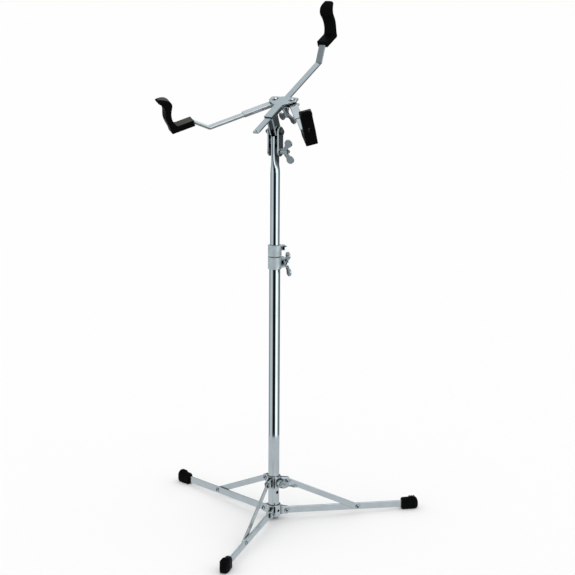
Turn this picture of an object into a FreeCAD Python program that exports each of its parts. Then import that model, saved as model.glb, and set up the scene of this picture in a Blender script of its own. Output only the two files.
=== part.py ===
import FreeCAD, Part
import os
from math import atan2, cos, hypot, pi, radians, sin, tan

# Tall snare drum stand: a folding flat tripod, a telescoping column, a tilter of two
# knuckles and a basket of three arms with rubber grips.
# Lengths are in millimetres and angles in degrees. +Z is up, the origin lies on the floor
# on the column's axis, and +X runs along the tilter's bolts.

V = FreeCAD.Vector

# Fits and cutting
fixed_fit = 0.02
running_fit = 0.05
sliding_fit = 0.1
face_gap = 0.15
open_pivot_gap = 0.3
screw_tip_gap = 0.3
overrun = 5.0
edge_round = 1.0

# Column
lower_tube_diameter = 22.2
lower_tube_wall = 1.2
lower_tube_length = 527.0
upper_tube_diameter = 19.05
upper_tube_wall = 1.5
tube_lift = 7.0
mast_insert = 235.0
mast_extension = 167.0
stop_hole_diameter = 6.5
stop_hole_height = 58.0
plug_length = 14.0
plug_flange = 2.0

# Base hub and brace collar
spider_wall = 3.4
spider_height = 24.0
pivot_radius = 26.0
leg_pivot_height = 16.5
brace_pivot_height = 80.5
brace_pivot_rise = 13.0
lug_radius = 7.5
lug_thickness = 3.0
lug_inset = 1.5
lug_root_share = 0.5
hub_hole_diameter = 5.5
hub_hole_height = 19.5
collar_boss_diameter = 13.0
collar_boss_reach = 24.0

# Legs, feet and braces
leg_count = 3
leg_azimuth = 41.0
leg_reach = 287.0
leg_height = 14.0
leg_thickness = 4.0
brace_joint = 149.0
brace_width = 12.0
brace_thickness = 3.0
foot_length = 35.0
foot_width = 15.0
foot_height = 24.5
foot_axis_height = 11.0
foot_end_wall = 5.0
foot_round = 4.5
foot_groove_count = 4
foot_groove_pitch = 3.2
foot_groove_width = 1.3
foot_groove_depth = 0.9
foot_groove_start = 3.0
rivet_diameter = 5.0
rivet_head_diameter = 10.0
rivet_head_height = 2.5
rivet_dish_diameter = 5.4
rivet_dish_depth = 1.7
rivet_dish_share = 0.5

# Receiver clamp, guide bush and memory lock
clamp_wall = 2.3
clamp_height = 24.0
clamp_azimuth = 55.0
clamp_lug_reach = 24.0
clamp_lug_thickness = 4.5
clamp_lug_inset = 1.5
clamp_lug_round = 5.0
clamp_slot = 2.5
clamp_bolt_radius = 18.0
memory_height = 22.0
memory_lug_drop = 1.5
memory_lug_rise = 10.5
memory_slot_share = 0.8
bush_length = 8.0
bush_flange_height = 1.2
bush_flange_width = 1.4
key_head_side = 6.0
key_head_height = 6.0
key_collar_diameter = 9.0
key_collar_height = 2.0

# Bolts, wing nuts and wing screws
bolt_diameter = 6.0
bolt_head_diameter = 12.0
bolt_head_height = 4.0
bolt_tail = 3.0
hex_across = 10.0
hex_height = 4.5
wing_span = 49.0
wing_lobe_diameter = 16.0
wing_thickness = 4.0
wing_web_width = 9.0
wing_root_height = 7.0
wing_tip_height = 18.2
wing_hub_diameter = 11.0
wing_hub_length = 15.0
wing_edge = 1.2
receiver_wing_turn = 94.0
neck_wing_turn = 104.0
collar_wing_turn = -10.0
lock_wing_turn = 22.0

# Tilter
flatten_length = 30.0
flat_thickness = 8.0
neck_pivot_rise = 11.0
tongue_radius = 31.0
neck_pivot_spacing = 37.0
neck_plate_radius = 10.5
neck_plate_waist = 1.0
neck_plate_thickness = 3.0
neck_washer_diameter = 20.0
neck_washer_thickness = 5.4
tab_gap = 0.3
tilt_washer_diameter = 16.0
tilt_washer_thickness = 1.8
tab_thickness = 3.0
tab_radius = 10.0
tilt_spacer_diameter = 10.0
tilt_along = 53.5
tilt_up = 36.4
tilt_angle = 24.2

# Basket
slide_bar_width = 14.0
slide_bar_thickness = 3.2
arm_bar_width = 12.5
arm_bar_thickness = 5.4
bar_edge_round = 1.2
bend_radius = 3.0
sleeve_wall = 1.8
slide_headroom = 1.5
sleeve_low = 67.0
sleeve_high = 10.0
ear_spacing = 36.6
ear_length = 18.0
ear_margin = 12.0
ear_round = 5.0
ear_shoulder = 5.5
ear_front = 22.5
ear_thickness = 2.7
arm_washer_diameter = 12.0
arm_washer_thickness = 2.0
lock_boss_diameter = 14.0
lock_boss_length = 10.3
right_arm_angle = 143.0
left_arm_angle = 139.5
arm_bend = 142.0
channel_wall = 1.5
channel_length = 70.0
arm_rivet_diameter = 6.0
arm_rivet_head_diameter = 14.0
arm_rivet_head_height = 3.2
slide_tail = 122.0
slide_bend = 158.0
slide_tail_round = 4.0
pip_diameter = 5.0
pip_height = 2.4
pip_inset = 6.0
rise_run = 28.0
slide_rise = 25.0
arm_rise = 24.5

# Rubber grips
grip_foot_length = 47.5
grip_foot_thickness = 12.5
grip_under = 3.0
grip_width = 22.0
grip_tip_round = 8.0
grip_corner_round = 2.5
hook_height = 75.0
hook_thickness = 10.5
core_height = 36.0
core_cover = 0.8
grip_pin_diameter = 4.0
grip_pin_head_diameter = 7.0
grip_pin_head_height = 1.4
grip_pin_lift = 1.6
grip_pin_height = 35.0
# Hook outline from its outer face over the tip to the fillet above the foot: share of the
# hook's thickness inwards from the foot's end, and share of the hook's height upwards.
hook_shares = [
    (-0.33, 0.30),
    (-0.40, 0.50),
    (-0.15, 0.69),
    (-0.34, 0.80),
    (-0.78, 0.89),
    (-1.05, 0.94),
    (-0.90, 0.99),
    (-0.11, 0.98),
    (0.83, 0.91),
    (1.37, 0.79),
    (1.19, 0.68),
    (0.86, 0.57),
    (0.70, 0.42),
    (0.82, 0.30),
    (1.14, 0.205),
]
hook_foot_share = 1.75

# Places worked out from the sizes above
lower_radius = lower_tube_diameter / 2
upper_radius = upper_tube_diameter / 2
lower_tube_top = tube_lift + lower_tube_length
collar_bottom = brace_pivot_height - brace_pivot_rise
collar_screw_height = collar_bottom + spider_height / 2
clamp_top = lower_tube_top + bush_length
clamp_bottom = clamp_top - clamp_height
clamp_outer = lower_radius + fixed_fit + clamp_wall
memory_bottom = clamp_top + bush_flange_height + face_gap
memory_top = memory_bottom + memory_height
mast_bottom = clamp_top - mast_insert
mast_round_top = clamp_top + mast_extension
flat_bottom = mast_round_top + flatten_length
flat_width = flat_thickness + pi * (upper_tube_diameter - flat_thickness) / 2
neck_pivot_height = flat_bottom + neck_pivot_rise
tilt_pivot_height = neck_pivot_height + neck_pivot_spacing
bolt_radius = bolt_diameter / 2
rivet_radius = rivet_diameter / 2
leg_slope = atan2(foot_axis_height - leg_pivot_height, leg_reach - pivot_radius)
leg_span = hypot(foot_axis_height - leg_pivot_height, leg_reach - pivot_radius)
brace_foot_radius = pivot_radius + brace_joint * cos(leg_slope)
brace_foot_height = leg_pivot_height + brace_joint * sin(leg_slope)
brace_slope = atan2(brace_foot_height - brace_pivot_height, brace_foot_radius - pivot_radius)
brace_length = hypot(brace_foot_height - brace_pivot_height, brace_foot_radius - pivot_radius)
brace_plane = -(leg_thickness / 2 + open_pivot_gap + brace_thickness / 2)
neck_plate_inner = flat_thickness / 2 + face_gap + neck_washer_thickness
neck_plate_outer = neck_plate_inner + neck_plate_thickness
slot_bottom = -slide_bar_thickness / 2 - face_gap
slot_top = slide_bar_thickness / 2 + face_gap + slide_headroom
slot_half_width = slide_bar_width / 2 + face_gap
sleeve_bottom = slot_bottom - sleeve_wall
sleeve_top = slot_top + sleeve_wall
sleeve_half_width = slot_half_width + sleeve_wall
channel_half_width = arm_bar_width / 2 + fixed_fit + channel_wall
ear_ceiling = sleeve_top - ear_thickness
arm_plane = ear_ceiling - arm_washer_thickness - face_gap - channel_wall - arm_bar_thickness / 2
ear_floor = arm_plane - arm_bar_thickness / 2 - face_gap
ear_bottom = ear_floor - sleeve_wall
ear_reach = ear_spacing / 2 + ear_margin
lock_seat = ear_bottom - lock_boss_length


def frame(origin, x_axis, y_axis):
    """Matrix that puts a shape drawn at the origin into the given axes."""
    z_axis = x_axis.cross(y_axis)
    return FreeCAD.Matrix(
        x_axis.x, y_axis.x, z_axis.x, origin.x,
        x_axis.y, y_axis.y, z_axis.y, origin.y,
        x_axis.z, y_axis.z, z_axis.z, origin.z,
        0, 0, 0, 1,
    )


def radial_frame(azimuth, radius, height, slope=0):
    """Axes at a place around the column: X outwards along a slope, Y to the left, Z upwards."""
    turn = radians(azimuth)
    outwards = V(cos(turn), sin(turn), 0)
    left = V(-sin(turn), cos(turn), 0)
    origin = outwards * radius + V(0, 0, height)
    return frame(origin, outwards * cos(slope) + V(0, 0, sin(slope)), left)


def box(x_low, x_high, y_low, y_high, z_low, z_high):
    """Block between two opposite corners."""
    return Part.makeBox(x_high - x_low, y_high - y_low, z_high - z_low, V(x_low, y_low, z_low))


def rimmed(radius, bottom, height, rounding):
    """Upright cylinder with rounded rims."""
    body = Part.makeCylinder(radius, height, V(0, 0, bottom))
    return body.makeFillet(rounding, [edge for edge in body.Edges if edge.BoundBox.ZLength < height / 2])


def ring(outer, inner, bottom, top):
    """Upright round sleeve."""
    shell = Part.makeCylinder(outer, top - bottom, V(0, 0, bottom))
    bore = Part.makeCylinder(inner, top - bottom + 2 * overrun, V(0, 0, bottom - overrun))
    return shell.cut(bore)


def cross_pin(x, z, radius, reach):
    """Cylinder along Y, as long on both sides of Y = 0."""
    return Part.makeCylinder(radius, 2 * reach, V(x, -reach, z), V(0, 1, 0))


def extruded(edges, direction):
    """Solid swept from a closed chain of edges."""
    return Part.Face(Part.Wire(edges)).extrude(direction)


def line(start, end):
    return Part.LineSegment(start, end).toShape()


def arc(start, middle, end):
    return Part.Arc(start, middle, end).toShape()


def strip(length, width, thickness):
    """Round-ended flat bar from the origin along X, upright in XZ, centred on Y."""
    half = width / 2
    side = -thickness / 2
    edges = [
        line(V(0, side, -half), V(length, side, -half)),
        arc(V(length, side, -half), V(length + half, side, 0), V(length, side, half)),
        line(V(length, side, half), V(0, side, half)),
        arc(V(0, side, half), V(-half, side, 0), V(0, side, -half)),
    ]
    bar = extruded(edges, V(0, thickness, 0))
    return bar.makeFillet(min(edge_round, thickness / 4), bar.Edges)


def dome_edges(radius, base, rise):
    """Arc of a domed head in XZ, from its rim at the base to its crown on the axis."""
    sphere = (radius * radius + rise * rise) / (2 * abs(rise))
    turn = atan2(radius, sphere - abs(rise)) / 2
    sign = 1 if rise > 0 else -1
    middle = V(sphere * sin(turn), 0, base + rise - sign * sphere * (1 - cos(turn)))
    return arc(V(radius, 0, base), middle, V(0, 0, base + rise))


def rivet(grip, radius, head_radius, head_height):
    """Rivet along Z with a domed head at each end, centred on its grip."""
    half = grip / 2
    edges = [
        line(V(0, 0, -half - head_height), V(0, 0, half + head_height)),
        dome_edges(head_radius, half, head_height),
        line(V(head_radius, 0, half), V(radius, 0, half)),
        line(V(radius, 0, half), V(radius, 0, -half)),
        line(V(radius, 0, -half), V(head_radius, 0, -half)),
        dome_edges(head_radius, -half, -head_height),
    ]
    profile = Part.Face(Part.Wire(Part.sortEdges(edges)[0]))
    return profile.revolve(V(0, 0, 0), V(0, 0, 1), 360)


def headed_pin(length, radius, head_radius, head_height):
    """Pin along Z from the origin with one domed head, whose seat is at Z = length."""
    edges = [
        line(V(0, 0, 0), V(0, 0, length + head_height)),
        dome_edges(head_radius, length, head_height),
        line(V(head_radius, 0, length), V(radius, 0, length)),
        line(V(radius, 0, length), V(radius, 0, 0)),
        line(V(radius, 0, 0), V(0, 0, 0)),
    ]
    profile = Part.Face(Part.Wire(Part.sortEdges(edges)[0]))
    return profile.revolve(V(0, 0, 0), V(0, 0, 1), 360)


def dished(pin, crown, heading):
    """Pin with a cone sunk into the head whose crown is at the given height along Z."""
    wide = rivet_dish_diameter / 2
    narrow = wide * rivet_dish_share
    cone = Part.makeCone(wide, narrow, rivet_dish_depth, V(0, 0, crown), V(0, 0, -heading))
    return pin.cut(cone)


def hex_prism(across, base, top):
    """Six-sided head along Z."""
    corner = across / 2 / cos(pi / 6)
    turns = [pi / 3 * side for side in range(7)]
    outline = Part.makePolygon([V(corner * cos(turn), corner * sin(turn), base) for turn in turns])
    return Part.Face(outline).extrude(V(0, 0, top - base))


def spin(angle):
    """Turn about Z."""
    turn = radians(angle)
    return frame(V(0, 0, 0), V(cos(turn), sin(turn), 0), V(-sin(turn), cos(turn), 0))


def wing_body():
    """Round hub with two raised paddles, along Z from its seat at the origin."""
    reach = (wing_span - wing_lobe_diameter) / 2
    rise = wing_tip_height - wing_root_height
    web = strip(hypot(rise, reach), wing_web_width, wing_thickness)
    side = -wing_thickness / 2
    paddle = Part.makeCylinder(wing_lobe_diameter / 2, wing_thickness, V(0, side, 0), V(0, 1, 0))
    paddle = paddle.makeFillet(min(wing_edge, wing_thickness / 3), paddle.Edges)
    body = Part.makeCone(wing_hub_diameter / 2, wing_hub_diameter / 2 - wing_edge, wing_hub_length)
    tilt = atan2(rise, reach)
    for side in (1, -1):
        outwards = V(side * cos(tilt), 0, sin(tilt))
        body = body.fuse(web.transformed(frame(V(0, 0, wing_root_height), outwards, V(0, side, 0))))
        tip = paddle.copy()
        tip.translate(V(side * reach, 0, wing_tip_height))
        body = body.fuse(tip)
    return body.removeSplitter()


def wing_nut():
    """Wing nut on a bolt along Z."""
    top = wing_tip_height + wing_lobe_diameter
    bore = Part.makeCylinder(bolt_radius + running_fit, top + 2 * overrun, V(0, 0, -overrun))
    return wing_body().cut(bore)


def wing_screw(shank):
    """Wing screw whose shank runs from its seat at the origin towards -Z."""
    return wing_body().fuse(Part.makeCylinder(bolt_radius, shank, V(0, 0, -shank))).removeSplitter()


def bent_bar(points, thickness, width, end_round=0):
    """Flat bar bent along points in XZ, centred on Y, with round bends and rounded long edges."""
    half = thickness / 2
    middle_radius = bend_radius + half
    sides = {1: [], -1: []}
    ends = {1: V(0, 0, 0), -1: V(0, 0, 0)}

    def normal(direction):
        return V(-direction.z, 0, direction.x)

    path = [V(x, -width / 2, z) for x, z in points]
    headings = []
    for start, end in zip(path, path[1:]):
        headings.append((end - start).normalize())
    for side in sides:
        here = path[0] + normal(headings[0]) * (side * half)
        ends[side] = here
        for corner, before, after in zip(path[1:], headings, headings[1:]):
            turn = atan2(before.x * after.z - before.z * after.x, before.dot(after))
            sign = 1 if turn > 0 else -1
            reach = middle_radius * tan(abs(turn) / 2)
            centre = corner - before * reach + normal(before) * (sign * middle_radius)
            radius = middle_radius - sign * side * half
            arc_start = centre - normal(before) * (sign * radius)
            arc_end = centre - normal(after) * (sign * radius)
            arc_middle = centre + (corner - centre).normalize() * radius
            sides[side].append(line(here, arc_start))
            sides[side].append(arc(arc_start, arc_middle, arc_end))
            here = arc_end
        last = path[-1] + normal(headings[-1]) * (side * half)
        sides[side].append(line(here, last))
    far = path[-1]
    edges = sides[1] + sides[-1]
    edges.append(line(ends[1], ends[-1]))
    across = normal(headings[-1]) * half
    edges.append(line(far + across, far - across))
    bar = extruded(Part.sortEdges(edges)[0], V(0, width, 0))
    if end_round:
        corners = []
        for edge in bar.Edges:
            if edge.BoundBox.XMax < points[0][0] + half and edge.BoundBox.ZLength > half:
                corners.append(edge)
        bar = bar.makeFillet(min(end_round, width / 3), corners)
    rim = []
    for edge in bar.Edges:
        square = edge.Curve.TypeId == "Part::GeomLine" and abs(edge.Length - thickness) < fixed_fit
        if edge.BoundBox.YLength < width / 2 and not square:
            rim.append(edge)
    return bar.makeFillet(min(bar_edge_round, thickness / 3), rim)


def spider(bore, bottom, pivot_height, plane, strip_thickness):
    """Barrel with a pair of lugs for each leg, bored for the rivets."""
    top = bottom + spider_height
    body = rimmed(bore + spider_wall, bottom, spider_height, min(edge_round, spider_wall / 3))
    root = lower_radius * lug_root_share
    low = bottom + lug_inset
    high = top - lug_inset
    near = strip_thickness / 2 + face_gap
    reach = near + lug_thickness
    for leg in range(leg_count):
        place = radial_frame(leg_azimuth + 360 / leg_count * leg, 0, 0)
        for y in (plane - reach, plane + near):
            edges = [
                line(V(root, y, low), V(pivot_radius, y, pivot_height - lug_radius)),
                arc(
                    V(pivot_radius, y, pivot_height - lug_radius),
                    V(pivot_radius + lug_radius, y, pivot_height),
                    V(pivot_radius, y, pivot_height + lug_radius),
                ),
                line(V(pivot_radius, y, pivot_height + lug_radius), V(root, y, high)),
                line(V(root, y, high), V(root, y, low)),
            ]
            lug = extruded(edges, V(0, lug_thickness, 0))
            rim = [edge for edge in lug.Edges
                   if edge.BoundBox.YLength < lug_thickness / 2 and edge.BoundBox.XMax > bore]
            lug = lug.makeFillet(min(edge_round, lug_thickness / 4), rim)
            body = body.fuse(lug.transformed(place))
        hole = cross_pin(pivot_radius, pivot_height, rivet_radius + fixed_fit, abs(plane) + reach + overrun)
        slot = box(bore + spider_wall, pivot_radius + lug_radius + overrun,
                   plane - near, plane + near, bottom - overrun, top + overrun)
        body = body.cut(hole.transformed(place)).cut(slot.transformed(place))
    return body.cut(Part.makeCylinder(bore, spider_height + 2 * overrun, V(0, 0, bottom - overrun)))


def split_clamp(bore, bottom, height, lug_low, lug_high, slot):
    """Clamp ring with two bolted lugs on its +X side, turned to the clamp's azimuth."""
    top = bottom + height
    half_slot = slot / 2
    reach = half_slot + clamp_lug_thickness
    lug = box(bore, clamp_lug_reach, -reach, reach, lug_low, lug_high)
    corners = [edge for edge in lug.Edges
               if edge.BoundBox.YLength > reach and edge.BoundBox.XMin > bore + clamp_wall]
    lug = lug.makeFillet(min(clamp_lug_round, (lug_high - lug_low) / 3), corners)
    rim = [edge for edge in lug.Edges
           if edge.BoundBox.YLength < reach and edge.BoundBox.XMax > bore + 2 * clamp_wall]
    lug = lug.makeFillet(min(edge_round, clamp_lug_thickness / 4), rim)
    body = rimmed(clamp_outer, bottom, height, min(edge_round, clamp_wall / 3)).fuse(lug)
    body = body.cut(Part.makeCylinder(bore, height + 2 * overrun, V(0, 0, bottom - overrun)))
    body = body.cut(box(0, clamp_lug_reach + overrun, -half_slot, half_slot, bottom - overrun, top + overrun))
    middle = (lug_low + lug_high) / 2
    body = body.cut(cross_pin(clamp_bolt_radius, middle, bolt_radius + running_fit, reach + overrun))
    return body.transformed(radial_frame(clamp_azimuth, 0, 0))


def clamp_bolt_frame(middle, from_plane):
    """Axes of a clamp's cross bolt: Z along the bolt, from the head's side to the wing's side."""
    turn = radians(clamp_azimuth)
    outwards = V(cos(turn), sin(turn), 0)
    left = V(-sin(turn), cos(turn), 0)
    origin = outwards * clamp_bolt_radius + left * from_plane + V(0, 0, middle)
    return frame(origin, outwards, V(0, 0, 1))


def flattened_rod(inset):
    """Solid inside the upper tube's surface: round, then flattened, then round-ended on the bolt."""
    radius = upper_radius - inset
    half_thick = flat_thickness / 2 - inset
    half_flat = (flat_width - flat_thickness) / 2
    spread = half_flat / upper_radius
    corner = V(radius * cos(spread), radius * sin(spread), 0)
    sections = []
    for share in (0, 1 / 3, 2 / 3):
        ease = share * share * (3 - 2 * share)
        height = V(0, 0, mast_round_top + flatten_length * share)
        c_x = corner.x + (half_thick - corner.x) * ease
        c_y = corner.y + (half_flat - corner.y) * ease
        side_x = radius + (half_thick - radius) * ease
        end_y = radius + (half_flat + half_thick - radius) * ease
        edges = [
            arc(V(c_x, -c_y, 0) + height, V(side_x, 0, 0) + height, V(c_x, c_y, 0) + height),
            arc(V(c_x, c_y, 0) + height, V(0, end_y, 0) + height, V(-c_x, c_y, 0) + height),
            arc(V(-c_x, c_y, 0) + height, V(-side_x, 0, 0) + height, V(-c_x, -c_y, 0) + height),
            arc(V(-c_x, -c_y, 0) + height, V(0, -end_y, 0) + height, V(c_x, -c_y, 0) + height),
        ]
        sections.append(Part.Wire(edges))
    end_y = half_flat + half_thick
    right_front = V(half_thick, -half_flat, flat_bottom)
    right_back = V(half_thick, half_flat, flat_bottom)
    left_back = V(-half_thick, half_flat, flat_bottom)
    left_front = V(-half_thick, -half_flat, flat_bottom)
    edges = [
        line(right_front, right_back),
        arc(right_back, V(0, end_y, flat_bottom), left_back),
        line(left_back, left_front),
        arc(left_front, V(0, -end_y, flat_bottom), right_front),
    ]
    sections.append(Part.Wire(edges))
    neck = Part.makeLoft(sections, True)
    flat = extruded(edges, V(0, 0, neck_pivot_rise + tongue_radius))
    round_end = Part.makeCylinder(tongue_radius - inset, 2 * flat_width,
                                  V(-flat_width, 0, neck_pivot_height), V(1, 0, 0))
    flat = flat.common(round_end)
    rod = Part.makeCylinder(radius, mast_round_top - mast_bottom, V(0, 0, mast_bottom))
    return rod.fuse(neck).fuse(flat)


def grip_shape():
    """Rubber grip in the arm's XZ plane, with its foot's inner lower corner at the origin."""
    side = -grip_width / 2
    outer = grip_foot_length
    corner = grip_corner_round
    slant = 1 - cos(pi / 4)
    top = grip_foot_thickness
    hook = [V(outer, side, corner)]
    for share, rise in hook_shares:
        hook.append(V(outer - share * hook_thickness, side, rise * hook_height))
    hook.append(V(outer - hook_foot_share * hook_thickness, side, top))
    curve = Part.BSplineCurve()
    curve.interpolate(Points=hook, InitialTangent=V(0, 0, 1), FinalTangent=V(-1, 0, 0))
    edges = [
        line(V(0, side, 0), V(outer - corner, side, 0)),
        arc(V(outer - corner, side, 0), V(outer - corner * slant, side, corner * slant), hook[0]),
        curve.toShape(),
        line(hook[-1], V(0, side, top)),
        line(V(0, side, top), V(0, side, 0)),
    ]
    body = extruded(edges, V(0, grip_width, 0))
    half = grip_width / 2
    tip = grip_tip_round
    crown = tip * slant
    front = [
        line(V(-overrun, -half, -overrun), V(-overrun, half, -overrun)),
        line(V(-overrun, half, -overrun), V(-overrun, half, hook_height - tip)),
        arc(V(-overrun, half, hook_height - tip), V(-overrun, half - crown, hook_height - crown),
            V(-overrun, half - tip, hook_height)),
        line(V(-overrun, half - tip, hook_height), V(-overrun, tip - half, hook_height)),
        arc(V(-overrun, tip - half, hook_height), V(-overrun, crown - half, hook_height - crown),
            V(-overrun, -half, hook_height - tip)),
        line(V(-overrun, -half, hook_height - tip), V(-overrun, -half, -overrun)),
    ]
    return body.common(extruded(front, V(grip_foot_length + 2 * hook_thickness + overrun, 0, 0)))


def core_run(thickness):
    """Length of a bar's middle line in the foot of its grip."""
    return grip_foot_length - core_cover - thickness / 2


def arm_path(start, bend, rise, thickness):
    """Middle line of an arm's bar, from its start to its end inside the grip."""
    foot = bend + rise_run
    upturn = foot + core_run(thickness)
    return [
        (start, 0),
        (bend, 0),
        (foot, rise),
        (upturn, rise),
        (upturn, rise + core_height),
    ]


def grip_parts(bend, rise, bar, thickness):
    """Grip on a bar, the bar with its hole, and the pin that holds them, in the arm's frame."""
    low = rise - thickness / 2 - grip_under
    foot = bend + rise_run
    height = low + grip_pin_height
    inner_end = foot + core_run(thickness) - thickness / 2
    length = thickness + grip_pin_lift
    grip = grip_shape().transformed(frame(V(foot, 0, low), V(1, 0, 0), V(0, 1, 0)))
    grip = grip.cut(bar)
    pin = headed_pin(length, grip_pin_diameter / 2, grip_pin_head_diameter / 2, grip_pin_head_height)
    place = frame(V(inner_end, 0, height), V(0, 1, 0), V(0, 0, 1))
    counterbore = Part.makeCylinder(grip_pin_head_diameter / 2 + fixed_fit, 2 * hook_thickness,
                                    V(inner_end + length, 0, height), V(1, 0, 0))
    hole = Part.makeCylinder(grip_pin_diameter / 2 + fixed_fit, hook_thickness,
                             V(inner_end, 0, height), V(1, 0, 0))
    return grip.cut(counterbore).cut(hole), bar.cut(hole), pin.transformed(place)


def ear_plate(low, high, shoulder, front):
    """Plate of both ears, whose front edges run from their shoulders to the sleeve's sides."""
    back = ear_length / 2
    corners = [
        V(-ear_reach, back, low),
        V(-ear_reach, -shoulder, low),
        V(-sleeve_half_width, -front, low),
        V(sleeve_half_width, -front, low),
        V(ear_reach, -shoulder, low),
        V(ear_reach, back, low),
    ]
    plate = Part.Face(Part.makePolygon(corners + corners[:1])).extrude(V(0, 0, high - low))
    half = (high - low) / 2
    outer = [edge for edge in plate.Edges
             if edge.BoundBox.ZLength > half and edge.BoundBox.XLength < half
             and abs(edge.CenterOfMass.x) > ear_spacing / 2]
    plate = plate.makeFillet(min(ear_round, ear_length / 3), outer)
    rim = [edge for edge in plate.Edges if edge.BoundBox.ZLength < half]
    return plate.makeFillet(min(edge_round, half / 2), rim)


nodes = {}

# Lower tube, its stop hole and its end plug
lock_azimuth = leg_azimuth - 180 / leg_count
tube = ring(lower_radius, lower_radius - lower_tube_wall, tube_lift, lower_tube_top)
stop_hole = Part.makeCylinder(stop_hole_diameter / 2, lower_tube_diameter, V(0, 0, 0), V(1, 0, 0))
tube = tube.cut(stop_hole.transformed(radial_frame(lock_azimuth, 0, stop_hole_height)))
hub_hole = Part.makeCylinder(hub_hole_diameter / 2, lower_tube_diameter, V(0, 0, 0), V(1, 0, 0))
hub_hole = hub_hole.transformed(radial_frame(lock_azimuth, 0, hub_hole_height))
nodes["lower_tube"] = [tube.cut(hub_hole)]
plug = Part.makeCylinder(lower_radius - lower_tube_wall - fixed_fit, plug_length, V(0, 0, tube_lift))
plug_rim = Part.makeCylinder(lower_radius, plug_flange, V(0, 0, tube_lift - plug_flange))
nodes["tube_end_plug"] = [plug.fuse(plug_rim).removeSplitter()]

# Base hub, and brace collar with the boss of its wing screw
hub = spider(lower_radius + fixed_fit, tube_lift, leg_pivot_height, 0, leg_thickness)
nodes["base_hub"] = [hub.cut(hub_hole)]
collar_bore = lower_radius + sliding_fit
collar = spider(collar_bore, collar_bottom, brace_pivot_height, brace_plane, brace_thickness)
boss_start = collar_bore + spider_wall / 2
boss = Part.makeCylinder(collar_boss_diameter / 2, collar_boss_reach - boss_start,
                         V(boss_start, 0, 0), V(1, 0, 0))
boss_hole = Part.makeCylinder(bolt_radius + running_fit, collar_boss_reach + overrun, V(0, 0, 0), V(1, 0, 0))
lock_place = radial_frame(lock_azimuth, 0, collar_screw_height)
nodes["brace_collar"] = [collar.fuse(boss.transformed(lock_place)).cut(boss_hole.transformed(lock_place))]
screw_axes = frame(V(collar_boss_reach + face_gap, 0, 0), V(0, 1, 0), V(0, 0, 1))
screw_shank = collar_boss_reach + face_gap - lower_radius - screw_tip_gap
screw = wing_screw(screw_shank).transformed(spin(collar_wing_turn))
nodes["collar_wing_screw"] = [screw.transformed(screw_axes).transformed(lock_place)]

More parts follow.
